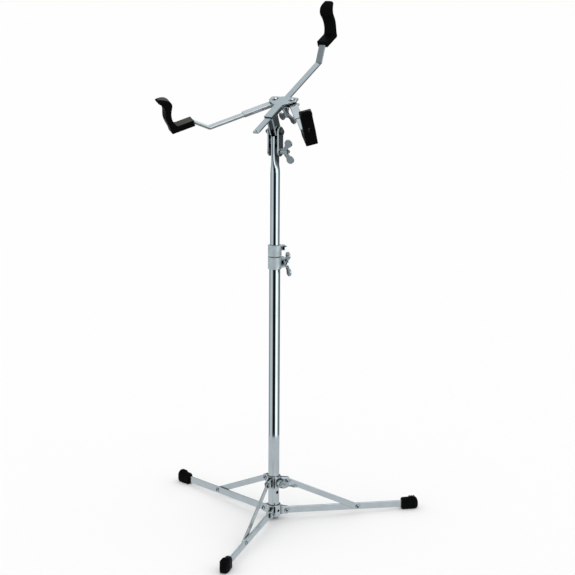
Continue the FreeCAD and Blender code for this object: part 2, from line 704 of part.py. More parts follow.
# Legs with their feet, braces, and the rivets of the fold
nodes["hub_rivets"] = []
nodes["collar_rivets"] = []
hub_grip = leg_thickness + 2 * (face_gap + lug_thickness)
collar_grip = brace_thickness + 2 * (face_gap + lug_thickness)
across = frame(V(0, 0, 0), V(0, 0, 1), V(1, 0, 0))
against = frame(V(0, 0, 0), V(1, 0, 0), V(0, 0, 1))
half_rivet_leg = headed_pin(leg_thickness, rivet_radius, rivet_head_diameter / 2, rivet_head_height)
half_rivet_leg = dished(half_rivet_leg, leg_thickness + rivet_head_height, 1)
half_rivet_brace = headed_pin(brace_thickness, rivet_radius, rivet_head_diameter / 2, rivet_head_height)
half_rivet_brace = dished(half_rivet_brace, brace_thickness + rivet_head_height, 1)
for leg in range(leg_count):
    azimuth = leg_azimuth + 360 / leg_count * leg
    name = str(leg + 1)
    leg_place = radial_frame(azimuth, pivot_radius, leg_pivot_height, leg_slope)
    brace_place = radial_frame(azimuth, pivot_radius, brace_pivot_height, brace_slope)
    upright = radial_frame(azimuth, 0, 0)

    pin = rivet(hub_grip, rivet_radius, rivet_head_diameter / 2, rivet_head_height)
    for heading in (1, -1):
        pin = dished(pin, heading * (hub_grip / 2 + rivet_head_height), heading)
    pin = pin.transformed(across)
    nodes["hub_rivets"].append(pin.transformed(radial_frame(azimuth, pivot_radius, leg_pivot_height)))
    pin = rivet(collar_grip, rivet_radius, rivet_head_diameter / 2, rivet_head_height)
    for heading in (1, -1):
        pin = dished(pin, heading * (collar_grip / 2 + rivet_head_height), heading)
    pin = pin.transformed(across)
    pin.translate(V(0, brace_plane, 0))
    nodes["collar_rivets"].append(pin.transformed(radial_frame(azimuth, pivot_radius, brace_pivot_height)))

    bar_length = leg_span + foot_length / 2 - foot_end_wall - leg_height / 2
    bar = strip(bar_length, leg_height, leg_thickness)
    bar = bar.cut(cross_pin(0, 0, rivet_radius + running_fit, leg_thickness))
    bar = bar.cut(cross_pin(brace_joint, 0, rivet_radius + fixed_fit, leg_thickness))
    bar = bar.transformed(leg_place)
    nodes["leg_" + name] = [bar]
    half = half_rivet_leg.transformed(across)
    half.translate(V(brace_joint, -leg_thickness / 2, 0))
    nodes["leg_rivet_" + name] = [half.transformed(leg_place)]

    foot = box(leg_reach - foot_length / 2, leg_reach + foot_length / 2,
               -foot_width / 2, foot_width / 2, 0, foot_height)
    rounded = [edge for edge in foot.Edges if edge.BoundBox.ZMax > foot_height / 2]
    foot = foot.makeFillet(min(foot_round, foot_width / 3), rounded)
    for groove in range(foot_groove_count):
        end = leg_reach + foot_length / 2 - foot_groove_start - foot_groove_pitch * groove
        start = end - foot_groove_width
        block = box(start, end, -foot_width, foot_width, foot_height / 2, foot_height + overrun)
        core = box(start - overrun, end + overrun, foot_groove_depth - foot_width / 2,
                   foot_width / 2 - foot_groove_depth, 0, foot_height - foot_groove_depth)
        rim = [edge for edge in core.Edges
               if edge.BoundBox.XLength > overrun and edge.BoundBox.ZMin > foot_height / 2]
        foot = foot.cut(block.cut(core.makeFillet(min(foot_round, foot_width / 3), rim)))
    nodes["foot_" + name] = [foot.transformed(upright).cut(bar)]

    stay = strip(brace_length, brace_width, brace_thickness)
    stay = stay.cut(cross_pin(0, 0, rivet_radius + running_fit, brace_thickness))
    stay = stay.cut(cross_pin(brace_length, 0, rivet_radius + fixed_fit, brace_thickness))
    stay.translate(V(0, brace_plane, 0))
    nodes["brace_" + name] = [stay.transformed(brace_place)]
    half = half_rivet_brace.transformed(against)
    half.translate(V(brace_length, brace_plane + brace_thickness / 2, 0))
    nodes["brace_rivet_" + name] = [half.transformed(brace_place)]

# Receiver clamp with its bolt and wing nut
clamp = split_clamp(lower_radius + fixed_fit, clamp_bottom, clamp_height,
                    clamp_bottom + clamp_lug_inset, clamp_top - clamp_lug_inset, clamp_slot)
nodes["receiver_clamp"] = [clamp]
clamp_half = clamp_slot / 2 + clamp_lug_thickness
clamp_middle = clamp_bottom + clamp_height / 2
clamp_bolt_length = 2 * clamp_half + face_gap + wing_hub_length + bolt_tail
bolt = headed_pin(clamp_bolt_length, bolt_radius, bolt_head_diameter / 2, bolt_head_height)
flip = frame(V(0, 0, clamp_bolt_length), V(1, 0, 0), V(0, -1, 0))
nodes["receiver_bolt"] = [bolt.transformed(flip).transformed(clamp_bolt_frame(clamp_middle, clamp_half))]
nut_place = clamp_bolt_frame(clamp_middle, -clamp_half - face_gap)
nodes["receiver_wing_nut"] = [wing_nut().transformed(spin(receiver_wing_turn)).transformed(nut_place)]

# Guide bush and memory lock with its key screw
bush_outer = lower_radius + fixed_fit - sliding_fit
bush = ring(bush_outer, upper_radius + sliding_fit, lower_tube_top + face_gap, clamp_top + face_gap)
bush_rim = ring(bush_outer + bush_flange_width, upper_radius + sliding_fit,
                clamp_top + face_gap / 2, clamp_top + bush_flange_height)
nodes["guide_bush"] = [bush.fuse(bush_rim).removeSplitter()]
memory_slot = clamp_slot * memory_slot_share
memory_lug_low = memory_bottom + memory_lug_rise
memory_lug_high = memory_top - memory_lug_drop
memory = split_clamp(upper_radius + sliding_fit, memory_bottom, memory_height,
                     memory_lug_low, memory_lug_high, memory_slot)
nodes["memory_lock"] = [memory]
memory_half = memory_slot / 2 + clamp_lug_thickness
key = Part.makeCylinder(bolt_radius, 2 * memory_half + bolt_tail, V(0, 0, -2 * memory_half - bolt_tail))
key = key.fuse(Part.makeCylinder(key_collar_diameter / 2, key_collar_height))
half_side = key_head_side / 2
key_top = key_collar_height + key_head_height
key = key.fuse(box(-half_side, half_side, -half_side, half_side, key_collar_height, key_top))
key_place = clamp_bolt_frame((memory_lug_low + memory_lug_high) / 2, -memory_half - face_gap)
nodes["memory_key_screw"] = [key.removeSplitter().transformed(key_place)]

# Upper tube with its flattened end
mast = flattened_rod(0).cut(flattened_rod(upper_tube_wall))
bolt_hole = Part.makeCylinder(bolt_radius + running_fit, 2 * flat_width,
                              V(-flat_width, 0, neck_pivot_height), V(1, 0, 0))
nodes["upper_tube"] = [mast.cut(bolt_hole)]

# Neck plates, washers and bolts of the tilter
radius = neck_plate_radius
spacing = neck_pivot_spacing
waist = radius - neck_plate_waist
plate_edges = [
    arc(V(0, -radius, 0), V(0, 0, -radius), V(0, radius, 0)),
    arc(V(0, radius, 0), V(0, waist, spacing / 2), V(0, radius, spacing)),
    arc(V(0, radius, spacing), V(0, 0, spacing + radius), V(0, -radius, spacing)),
    arc(V(0, -radius, spacing), V(0, -waist, spacing / 2), V(0, -radius, 0)),
]
plate = extruded(plate_edges, V(neck_plate_thickness, 0, 0))
plate = plate.makeFillet(min(edge_round, neck_plate_thickness / 4), plate.Edges)
for height in (0, spacing):
    hole = Part.makeCylinder(bolt_radius + fixed_fit, 2 * radius, V(-radius, 0, height), V(1, 0, 0))
    plate = plate.cut(hole)
neck_base = V(0, 0, neck_pivot_height)
for name, inner in (("neck_plate_right", neck_plate_inner), ("neck_plate_left", -neck_plate_outer)):
    side = plate.copy()
    side.translate(V(inner, 0, 0) + neck_base)
    nodes[name] = [side]
washer = ring(neck_washer_diameter / 2, bolt_radius + fixed_fit, 0, neck_washer_thickness)
along_x = frame(neck_base, V(0, 1, 0), V(0, 0, 1))
nodes["neck_washers"] = []
for start in (flat_thickness / 2 + face_gap, -neck_plate_inner):
    disc = washer.copy()
    disc.translate(V(0, 0, start))
    nodes["neck_washers"].append(disc.transformed(along_x))
neck_bolt_length = 2 * neck_plate_outer + face_gap + wing_hub_length + bolt_tail
bolt = headed_pin(neck_bolt_length, bolt_radius, bolt_head_diameter / 2, bolt_head_height)
bolt = bolt.transformed(frame(V(0, 0, neck_bolt_length - neck_plate_outer), V(1, 0, 0), V(0, -1, 0)))
nodes["neck_bolt"] = [bolt.transformed(along_x)]
nut = wing_nut().transformed(spin(neck_wing_turn))
nut.translate(V(0, 0, neck_plate_outer + face_gap))
nodes["neck_wing_nut"] = [nut.transformed(along_x)]
tilt_x = frame(V(0, 0, tilt_pivot_height), V(0, 1, 0), V(0, 0, 1))
tilt_bolt_length = 2 * neck_plate_outer + hex_height + bolt_tail
tilt_bolt = Part.makeCylinder(bolt_radius, tilt_bolt_length, V(0, 0, neck_plate_outer - tilt_bolt_length))
tilt_bolt = tilt_bolt.fuse(hex_prism(hex_across, neck_plate_outer, neck_plate_outer + hex_height))
nodes["tilt_bolt"] = [tilt_bolt.removeSplitter().transformed(tilt_x)]
tilt_nut = hex_prism(hex_across, -neck_plate_outer - hex_height, -neck_plate_outer)
nut_bore = Part.makeCylinder(bolt_radius + fixed_fit, tilt_bolt_length, V(0, 0, -tilt_bolt_length))
nodes["tilt_nut"] = [tilt_nut.cut(nut_bore).transformed(tilt_x)]
tab_outer = neck_plate_inner - tilt_washer_thickness - tab_gap
tab_inner = tab_outer - tab_thickness
spacer = ring(tilt_spacer_diameter / 2, bolt_radius + running_fit, -tab_inner, tab_inner)
nodes["tilt_spacer"] = [spacer.transformed(tilt_x)]
nodes["tilt_washers"] = []
for start in (neck_plate_inner - tilt_washer_thickness, -neck_plate_inner):
    disc = ring(tilt_washer_diameter / 2, bolt_radius + fixed_fit, start, start + tilt_washer_thickness)
    nodes["tilt_washers"].append(disc.transformed(tilt_x))

# Basket bracket, drawn with X across, Y along the sliding arm and Z square to the basket
tilt = radians(tilt_angle)
basket_along = V(0, cos(tilt), sin(tilt))
basket_up = V(0, -sin(tilt), cos(tilt))
basket_origin = V(0, 0, tilt_pivot_height) + basket_along * tilt_along + basket_up * tilt_up
basket = frame(basket_origin, V(1, 0, 0), basket_along)
bracket = box(-sleeve_half_width, sleeve_half_width, -sleeve_low, sleeve_high, sleeve_bottom, sleeve_top)
long_edges = [edge for edge in bracket.Edges if edge.BoundBox.YLength > sleeve_low]
bracket = bracket.makeFillet(min(edge_round, sleeve_wall / 2), long_edges)
bracket = bracket.fuse(ear_plate(ear_ceiling, sleeve_top, ear_shoulder, ear_front))
bracket = bracket.fuse(ear_plate(ear_bottom, ear_floor, ear_length / 2, ear_length / 2))
tab_root = sleeve_bottom + sleeve_wall / 2
for start in (tab_inner, -tab_outer):
    low = -tilt_along - tab_radius
    high = tab_radius - tilt_along
    edges = [
        line(V(start, low, tab_root), V(start, low, -tilt_up)),
        arc(V(start, low, -tilt_up), V(start, -tilt_along, -tilt_up - tab_radius), V(start, high, -tilt_up)),
        line(V(start, high, -tilt_up), V(start, high, tab_root)),
        line(V(start, high, tab_root), V(start, low, tab_root)),
    ]
    bracket = bracket.fuse(extruded(edges, V(tab_thickness, 0, 0)))
boss_height = tab_root - lock_seat
bracket = bracket.fuse(Part.makeCylinder(lock_boss_diameter / 2, boss_height, V(0, 0, lock_seat)))
bracket = bracket.cut(box(-slot_half_width, slot_half_width, -sleeve_low - overrun, sleeve_high + overrun,
                          slot_bottom, slot_top))
bracket = bracket.cut(Part.makeCylinder(bolt_radius + running_fit, -lock_seat, V(0, 0, lock_seat)))
bracket = bracket.cut(Part.makeCylinder(bolt_radius + running_fit, 2 * tab_outer + 2 * overrun,
                                        V(-tab_outer - overrun, -tilt_along, -tilt_up), V(1, 0, 0)))
arm_rivet_radius = arm_rivet_diameter / 2
ear_height = sleeve_top - ear_bottom
for x in (-ear_spacing / 2, ear_spacing / 2):
    hole = Part.makeCylinder(arm_rivet_radius + fixed_fit, ear_height + 2 * overrun,
                             V(x, 0, ear_bottom - overrun))
    bracket = bracket.cut(hole)
nodes["basket_bracket"] = [bracket.removeSplitter().transformed(basket)]
arm_rivet = rivet(ear_height, arm_rivet_radius, arm_rivet_head_diameter / 2, arm_rivet_head_height)
arm_washer = ring(arm_washer_diameter / 2, arm_rivet_radius + fixed_fit,
                  ear_ceiling - arm_washer_thickness, ear_ceiling)
nodes["arm_rivets"] = []
nodes["arm_washers"] = []
for x in (-ear_spacing / 2, ear_spacing / 2):
    pin = arm_rivet.copy()
    pin.translate(V(x, 0, (sleeve_top + ear_bottom) / 2))
    nodes["arm_rivets"].append(pin.transformed(basket))
    disc = arm_washer.copy()
    disc.translate(V(x, 0, 0))
    nodes["arm_washers"].append(disc.transformed(basket))
lock_shank = -slide_bar_thickness / 2 - screw_tip_gap - lock_seat + face_gap
lock_axes = frame(V(0, 0, lock_seat - face_gap), V(1, 0, 0), V(0, -1, 0))
lock_screw = wing_screw(lock_shank).transformed(spin(lock_wing_turn))
nodes["arm_lock_screw"] = [lock_screw.transformed(lock_axes).transformed(basket)]

# Sliding arm with its stop pip, grip and pin
slide_place = basket.multiply(frame(V(0, 0, 0), V(0, 1, 0), V(-1, 0, 0)))
slide_path = arm_path(-slide_tail, slide_bend, slide_rise, slide_bar_thickness)
slide_bar = bent_bar(slide_path, slide_bar_thickness, slide_bar_width, slide_tail_round)
grip, slide_bar, pin = grip_parts(slide_bend, slide_rise, slide_bar, slide_bar_thickness)
pip_x = pip_inset - slide_tail
pip = headed_pin(slide_bar_thickness / 2, pip_diameter / 3, pip_diameter / 2, pip_height)
pip.translate(V(pip_x, 0, 0))
nodes["sliding_arm"] = [slide_bar.fuse(pip).removeSplitter().transformed(slide_place)]
nodes["sliding_arm_grip"] = [grip.transformed(slide_place)]
nodes["sliding_arm_grip_pin"] = [pin.transformed(slide_place)]

# Swinging arms: channel, bar, grip and pin each
for name, side, angle in (("right", 1, right_arm_angle), ("left", -1, left_arm_angle)):
    turn = radians(angle)
    outwards = V(side * sin(turn), cos(turn), 0)
    left = V(-cos(turn), side * sin(turn), 0)
    arm_place = basket.multiply(frame(V(side * ear_spacing / 2, 0, arm_plane), outwards, left))
    half_bar = arm_bar_thickness / 2
    channel_top = half_bar + channel_wall
    channel_height = arm_bar_thickness + channel_wall
    below = -half_bar - overrun
    pivot_hole = Part.makeCylinder(arm_rivet_radius + running_fit, channel_height + 2 * overrun,
                                   V(0, 0, below))
    channel = box(0, channel_length, -channel_half_width, channel_half_width, -half_bar, channel_top)
    channel = channel.fuse(Part.makeCylinder(channel_half_width, channel_height, V(0, 0, -half_bar)))
    channel = channel.removeSplitter()
    rim = [edge for edge in channel.Edges if edge.BoundBox.ZMin > half_bar]
    channel = channel.makeFillet(min(edge_round, channel_wall * 2 / 3), rim)
    hollow_width = arm_bar_width / 2 + fixed_fit
    hollow = box(0, channel_length + overrun, -hollow_width, hollow_width, below, half_bar)
    hollow = hollow.fuse(Part.makeCylinder(hollow_width, arm_bar_thickness + overrun, V(0, 0, below)))
    channel = channel.cut(hollow).cut(pivot_hole)
    nodes["arm_channel_" + name] = [channel.transformed(arm_place)]
    bar_path = arm_path(0, arm_bend, arm_rise, arm_bar_thickness)
    arm_bar = bent_bar(bar_path, arm_bar_thickness, arm_bar_width)
    arm_bar = arm_bar.fuse(Part.makeCylinder(arm_bar_width / 2, arm_bar_thickness, V(0, 0, -half_bar)))
    arm_bar = arm_bar.removeSplitter().cut(pivot_hole)
    grip, arm_bar, pin = grip_parts(arm_bend, arm_rise, arm_bar, arm_bar_thickness)
    nodes["arm_bar_" + name] = [arm_bar.transformed(arm_place)]
    nodes["arm_grip_" + name] = [grip.transformed(arm_place)]
    nodes["arm_grip_pin_" + name] = [pin.transformed(arm_place)]

os.makedirs("parts", exist_ok=True)
for name, solids in nodes.items():
    shape = solids[0] if len(solids) == 1 else Part.makeCompound(solids)
    shape.exportStep("parts/" + name + ".step")
    print(name, len(shape.Solids), round(shape.Volume, 1), shape.isValid())
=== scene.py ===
"""Looks of a chrome snare drum stand: plated tubes and bars, moulded rubber and a white studio.

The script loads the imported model, gives every piece its finish, models the rubber grips and feet
anew, and sets the studio and the camera. It is laid out as an add-on and is run as a script.
"""
import math

import bmesh
import bpy
from mathutils import Matrix, Vector


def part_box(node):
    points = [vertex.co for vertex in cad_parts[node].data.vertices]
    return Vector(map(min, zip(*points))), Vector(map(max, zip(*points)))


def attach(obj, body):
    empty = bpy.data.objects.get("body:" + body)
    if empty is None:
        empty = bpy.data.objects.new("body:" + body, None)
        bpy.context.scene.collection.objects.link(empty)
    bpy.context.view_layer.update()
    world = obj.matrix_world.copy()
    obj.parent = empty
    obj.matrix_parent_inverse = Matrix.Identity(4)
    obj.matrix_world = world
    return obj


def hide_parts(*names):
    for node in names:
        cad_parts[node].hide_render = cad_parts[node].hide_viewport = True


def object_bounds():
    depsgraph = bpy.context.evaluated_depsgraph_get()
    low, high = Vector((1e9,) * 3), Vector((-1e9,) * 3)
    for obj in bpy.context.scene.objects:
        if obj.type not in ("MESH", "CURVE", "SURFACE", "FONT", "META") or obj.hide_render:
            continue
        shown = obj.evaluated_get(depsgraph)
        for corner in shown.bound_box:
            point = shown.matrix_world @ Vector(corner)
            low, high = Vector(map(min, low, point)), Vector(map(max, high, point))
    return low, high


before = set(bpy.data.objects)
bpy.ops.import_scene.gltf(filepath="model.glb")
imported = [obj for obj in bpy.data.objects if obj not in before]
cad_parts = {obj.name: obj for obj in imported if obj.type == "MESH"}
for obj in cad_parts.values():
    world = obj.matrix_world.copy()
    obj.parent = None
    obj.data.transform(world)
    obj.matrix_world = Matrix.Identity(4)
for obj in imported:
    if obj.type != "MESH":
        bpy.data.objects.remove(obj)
cad_low, cad_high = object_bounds()

bl_info = {
    "name": "Snare Drum Stand",
    "version": (1, 0, 0),
    "blender": (4, 5, 0),
    "location": "View3D > Sidebar > Stand",
    "description": "Finishes, rubber parts and studio for a folding snare drum stand",
    "category": "Object",
}

SIDES = ("left", "right")
LEGS = ("1", "2", "3")

TUBES = ("lower_tube", "upper_tube")
LEG_BARS = (*(f"leg_{leg}" for leg in LEGS), *(f"brace_{leg}" for leg in LEGS))
BASKET_BARS = (*(f"neck_plate_{side}" for side in SIDES), "sliding_arm", "basket_bracket")
SWING_ARMS = (*(f"arm_bar_{side}" for side in SIDES), *(f"arm_channel_{side}" for side in SIDES))
PRESSINGS = ("base_hub", "brace_collar")
CLAMPS = ("receiver_clamp", "memory_lock")
WINGS = ("collar_wing_screw", "receiver_wing_nut", "neck_wing_nut", "arm_lock_screw")
FASTENERS = (
    *(f"leg_rivet_{leg}" for leg in LEGS),
    *(f"brace_rivet_{leg}" for leg in LEGS),
    "hub_rivets",
    "collar_rivets",
    "arm_rivets",
    "receiver_bolt",
    "memory_key_screw",
    "neck_bolt",
    "tilt_bolt",
    "tilt_nut",
    "tilt_spacer",
)
NYLON_PIECES = ("guide_bush", "neck_washers", "tilt_washers", "arm_washers")
GRIP_PINS = ("sliding_arm_grip_pin", *(f"arm_grip_pin_{side}" for side in SIDES))
GRIPS = {
    "sliding_arm_grip": "sliding",
    "arm_grip_left": "arm_left",
    "arm_grip_right": "arm_right",
}


class StandFinishes(bpy.types.PropertyGroup):
    """Colours and polish of the stand's metal, rubber and nylon."""

    chrome_light: bpy.props.FloatVectorProperty(
        name="Chrome light", description="Colour of the plating where it is cleanest",
        default=(0.90, 0.93, 0.945), size=3, min=0, max=1, subtype="COLOR")
    chrome_dull: bpy.props.FloatVectorProperty(
        name="Chrome dull", description="Colour of the plating where it is hazed",
        default=(0.80, 0.84, 0.86), size=3, min=0, max=1, subtype="COLOR")
    tube_polish: bpy.props.FloatProperty(
        name="Tube roughness", description="Roughness of the drawn and polished tubes",
        default=0.045, min=0, max=1, subtype="FACTOR")
    leg_polish: bpy.props.FloatProperty(
        name="Leg roughness", description="Roughness of the rolled bars of the tripod",
        default=0.17, min=0, max=1, subtype="FACTOR")
    bar_polish: bpy.props.FloatProperty(
        name="Bar roughness", description="Roughness of the bars and plates of the basket",
        default=0.10, min=0, max=1, subtype="FACTOR")
    pressing_polish: bpy.props.FloatProperty(
        name="Pressing roughness", description="Roughness of the hub and the collar",
        default=0.06, min=0, max=1, subtype="FACTOR")
    clamp_polish: bpy.props.FloatProperty(
        name="Clamp roughness", description="Roughness of the satin receiver clamp and memory lock",
        default=0.55, min=0, max=1, subtype="FACTOR")
    # Reach of the painted shade that ambient occlusion puts into the plating near joints and between parts
    crevice_shade_reach: bpy.props.FloatProperty(
        name="Crevice depth", description="How far from a joint old oil darkens the plating",
        default=0.007, min=0, max=0.05, unit="LENGTH")
    # Share of the plating's colour left where the painted shade of a joint is deepest
    crevice_shade_share: bpy.props.FloatProperty(
        name="Crevice", description="Share of the plating's colour that is left in a joint",
        default=0.10, min=0, max=1, subtype="FACTOR")
    wing_polish: bpy.props.FloatProperty(
        name="Wing roughness", description="Roughness of the cast wing nuts and screws",
        default=0.16, min=0, max=1, subtype="FACTOR")
    fastener_polish: bpy.props.FloatProperty(
        name="Fastener roughness", description="Roughness of rivets, bolts and nuts",
        default=0.10, min=0, max=1, subtype="FACTOR")
    rubber_dark: bpy.props.FloatVectorProperty(
        name="Rubber", description="Colour of the moulded rubber",
        default=(0.0025, 0.0028, 0.0026), size=3, min=0, max=1, subtype="COLOR")
    rubber_scuff: bpy.props.FloatVectorProperty(
        name="Rubber scuff", description="Colour of the rubber where edges are rubbed",
        default=(0.016, 0.017, 0.016), size=3, min=0, max=1, subtype="COLOR")
    # Dust together with a painted sheen of the overhead light, on the grips' faces that point up
    rubber_dust_and_sheen: bpy.props.FloatVectorProperty(
        name="Rubber dust", description="Colour of the rubber where drum rims have lain on it",
        default=(0.075, 0.078, 0.066), size=3, min=0, max=1, subtype="COLOR")
    nylon_dark: bpy.props.FloatVectorProperty(
        name="Nylon", description="Colour of the guide bush and the washers",
        default=(0.018, 0.018, 0.02), size=3, min=0, max=1, subtype="COLOR")
    pin_dark: bpy.props.FloatVectorProperty(
        name="Black steel", description="Colour of the blackened grip pins",
        default=(0.05, 0.05, 0.052), size=3, min=0, max=1, subtype="COLOR")


class RubberForms(bpy.types.PropertyGroup):
    """Sizes of the moulded rubber pieces."""

    grip_voxel: bpy.props.FloatProperty(
        name="Grip skin", description="Size of the even faces of a grip's skin",
        default=0.0006, min=0.0003, max=0.003, unit="LENGTH")
    grip_passes: bpy.props.IntProperty(
        name="Grip rounding", description="Smoothing passes that round a grip's edges",
        default=5, min=0, max=40)
    foot_corner: bpy.props.FloatProperty(
        name="Foot corner", description="Radius of a foot's long upper edges",
        default=0.0068, min=0.001, max=0.008, unit="LENGTH")
    mouth_round: bpy.props.FloatProperty(
        name="Foot mouth", description="Rounding of a foot where its leg enters",
        default=0.003, min=0.0005, max=0.006, unit="LENGTH")
    nose_round: bpy.props.FloatProperty(
        name="Foot nose", description="Length of the rounding at a foot's outer end",
        default=0.0068, min=0.001, max=0.012, unit="LENGTH")
    rib_pitch: bpy.props.FloatProperty(
        name="Rib pitch", description="Distance from rib to rib on a foot",
        default=0.0045, min=0.001, max=0.01, unit="LENGTH")
    rib_height: bpy.props.FloatProperty(
        name="Rib height", description="How far a foot's ribs stand out of its top",
        default=0.0024, min=0, max=0.004, unit="LENGTH")
    rib_count: bpy.props.IntProperty(
        name="Ribs", description="Number of ribs at a foot's tip", default=3, min=0, max=8)


class StudioStage(bpy.types.PropertyGroup):
    """Floor and light of the white studio."""

    floor_radius: bpy.props.FloatProperty(
        name="Floor radius", description="Radius of the pale floor",
        default=60.0, min=1, max=200, unit="LENGTH")
    floor_colour: bpy.props.FloatVectorProperty(
        name="Floor", description="Colour of the pale floor",
        default=(0.90, 0.90, 0.90), size=3, min=0, max=1, subtype="COLOR")
    table_radius: bpy.props.FloatProperty(
        name="Table radius", description="How far the floor shows in the chrome",
        default=0.55, min=0.1, max=5, unit="LENGTH")
    table_shine: bpy.props.FloatVectorProperty(
        name="Table shine", description="Colour of the floor as the chrome shows it",
        default=(0.46, 0.50, 0.52), size=3, min=0, max=1, subtype="COLOR")
    card_height: bpy.props.FloatProperty(
        name="Card height", description="Height of the dark cards above the floor",
        default=0.0005, min=0, max=0.01, unit="LENGTH")
    card_colour: bpy.props.FloatVectorProperty(
        name="Card colour", description="Colour of the dark cards on the floor",
        default=(0.01, 0.01, 0.01), size=3, min=0, max=1, subtype="COLOR")
    eaves_shine: bpy.props.FloatVectorProperty(
        name="Eaves shine", description="Colour of the dim ring round the overhead light in the chrome",
        default=(0.15, 0.17, 0.175), size=3, min=0, max=1, subtype="COLOR")
    roof_shine: bpy.props.FloatVectorProperty(
        name="Roof shine", description="Colour of the overhead soft light in the chrome",
        default=(1.25, 1.25, 1.25), size=3, min=0, max=5, subtype="COLOR")
    soft_light: bpy.props.FloatProperty(
        name="Soft light", description="Strength of the even light on the floor and the rubber",
        default=1.1, min=0, max=5)


class PhotoView(bpy.types.PropertyGroup):
    """The camera's place and lens."""

    turn: bpy.props.FloatProperty(
        name="Turn", description="Angle of the view round the column",
        default=math.radians(29.0), subtype="ANGLE")
    reach: bpy.props.FloatProperty(
        name="Reach", description="Level distance from the column to the camera",
        default=2.971, min=0.1, unit="LENGTH")
    height: bpy.props.FloatProperty(
        name="Height", description="Height of the camera above the floor",
        default=1.142, unit="LENGTH")
    pitch: bpy.props.FloatProperty(
        name="Pitch", description="How far the camera looks down",
        default=math.radians(12.56), subtype="ANGLE")
    yaw: bpy.props.FloatProperty(
        name="Yaw", description="How far the camera looks to the right of the column",
        default=math.radians(0.488), subtype="ANGLE")
    roll: bpy.props.FloatProperty(
        name="Roll", description="How far the camera leans",
        default=math.radians(0.36), subtype="ANGLE")
    focal_length: bpy.props.FloatProperty(
        name="Focal length", description="Focal length on a 36 mm sensor",
        default=96.95, min=1, unit="CAMERA")


# Node trees

# A stretch or a shade that changes nothing
EVEN = (1, 1, 1)


def add_node(tree, kind, **settings):
    """One node of a tree, with its settings."""
    node = tree.nodes.new(kind)
    for name, value in settings.items():
        setattr(node, name, value)
    return node


def own_noise(tree, scale, detail, stretch=EVEN):
    """Noise in the piece's own space, as a value from 0 to 1."""
    place = add_node(tree, "ShaderNodeTexCoord")
    spread = add_node(tree, "ShaderNodeMapping")
    noise = add_node(tree, "ShaderNodeTexNoise")
    spread.inputs["Scale"].default_value = stretch
    noise.inputs["Scale"].default_value = scale
    noise.inputs["Detail"].default_value = detail
    tree.links.new(place.outputs["Object"], spread.inputs["Vector"])
    tree.links.new(spread.outputs["Vector"], noise.inputs["Vector"])
    return noise.outputs[0]


def between(tree, value, low, high, start=0.3, end=0.7):
    """A value that runs from low to high as another one runs from start to end."""
    ranged = add_node(tree, "ShaderNodeMapRange", interpolation_type="SMOOTHSTEP")
    ranged.inputs["From Min"].default_value = start
    ranged.inputs["From Max"].default_value = end
    ranged.inputs["To Min"].default_value = low
    ranged.inputs["To Max"].default_value = high
    tree.links.new(value, ranged.inputs["Value"])
    return ranged.outputs["Result"]


def ramp(tree, value, stops):
    """Colours along a value, from (place, colour) stops."""
    node = add_node(tree, "ShaderNodeValToRGB")
    marks = node.color_ramp.elements
    while len(marks) < len(stops):
        marks.new(1.0)
    for mark, (place, colour) in zip(marks, stops):
        mark.position = place
        mark.color = (*colour, 1)
    tree.links.new(value, node.inputs["Fac"])
    return node.outputs["Color"]


def relief(tree, height, depth, strength):
    """A bump normal from a height, with its depth in metres."""
    bump = add_node(tree, "ShaderNodeBump")
    bump.inputs["Strength"].default_value = strength
    bump.inputs["Distance"].default_value = depth
    tree.links.new(height, bump.inputs["Height"])
    return bump.outputs["Normal"]


def new_material(name):
    """An empty material with its tree and its surface shader."""
    material = bpy.data.materials.new(name)
    material.use_nodes = True
    return material, material.node_tree, material.node_tree.nodes["Principled BSDF"]


# Finishes

# Where the plating's haze starts and ends in its noise, and the roughness of clean and of hazed plating as
# shares of its polish
HAZE_START = 0.35
HAZE_END = 0.75
CLEAN_POLISH = 0.7
HAZED_POLISH = 1.5
CREVICE_SAMPLES = 16
# How much the rubber mirrors, and where the wear of its edges starts and ends
RUBBER_MIRROR = 0.05
WEAR_START = 0.1
WEAR_END = 0.8
# Where the cloud of nylon and black steel is darkest and lightest in its noise
CLOUD_START = 0.3
CLOUD_END = 0.8
PIN_METAL = 0.7


def plated_steel(name, polish, grain, depth, stretch=EVEN, shade=EVEN, metal=1.0, crevice_shade_stops=(0.35, 0.80)):
    """Bright plating: hazed here and there, darkened by painted shade in its joints and between parts,
    with a faint grain under it.
    """
    finish = bpy.context.scene.stand_finishes
    material, tree, shader = new_material(name)
    shader.inputs["Metallic"].default_value = metal
    haze = own_noise(tree, scale=28.0, detail=4.0)
    marks = own_noise(tree, scale=grain, detail=3.0, stretch=stretch)
    light = [part * share for part, share in zip(finish.chrome_light, shade)]
    dull = [part * share for part, share in zip(finish.chrome_dull, shade)]
    plate = ramp(tree, haze, ((HAZE_START, light), (HAZE_END, dull)))
    # Painted shade: ambient occlusion darkens the plating's colour near joints and between parts
    crevice_occlusion = add_node(tree, "ShaderNodeAmbientOcclusion", samples=CREVICE_SAMPLES)
    crevice_occlusion.inputs["Distance"].default_value = finish.crevice_shade_reach
    unshaded_share = between(tree, crevice_occlusion.outputs["AO"], finish.crevice_shade_share, 1.0, *crevice_shade_stops)
    colour = add_node(tree, "ShaderNodeVectorMath", operation="SCALE")
    tree.links.new(plate, colour.inputs[0])
    tree.links.new(unshaded_share, colour.inputs["Scale"])
    tree.links.new(colour.outputs["Vector"], shader.inputs["Base Color"])
    rough = between(tree, haze, polish * CLEAN_POLISH, polish * HAZED_POLISH)
    tree.links.new(rough, shader.inputs["Roughness"])
    tree.links.new(relief(tree, marks, depth, strength=0.25), shader.inputs["Normal"])
    return material


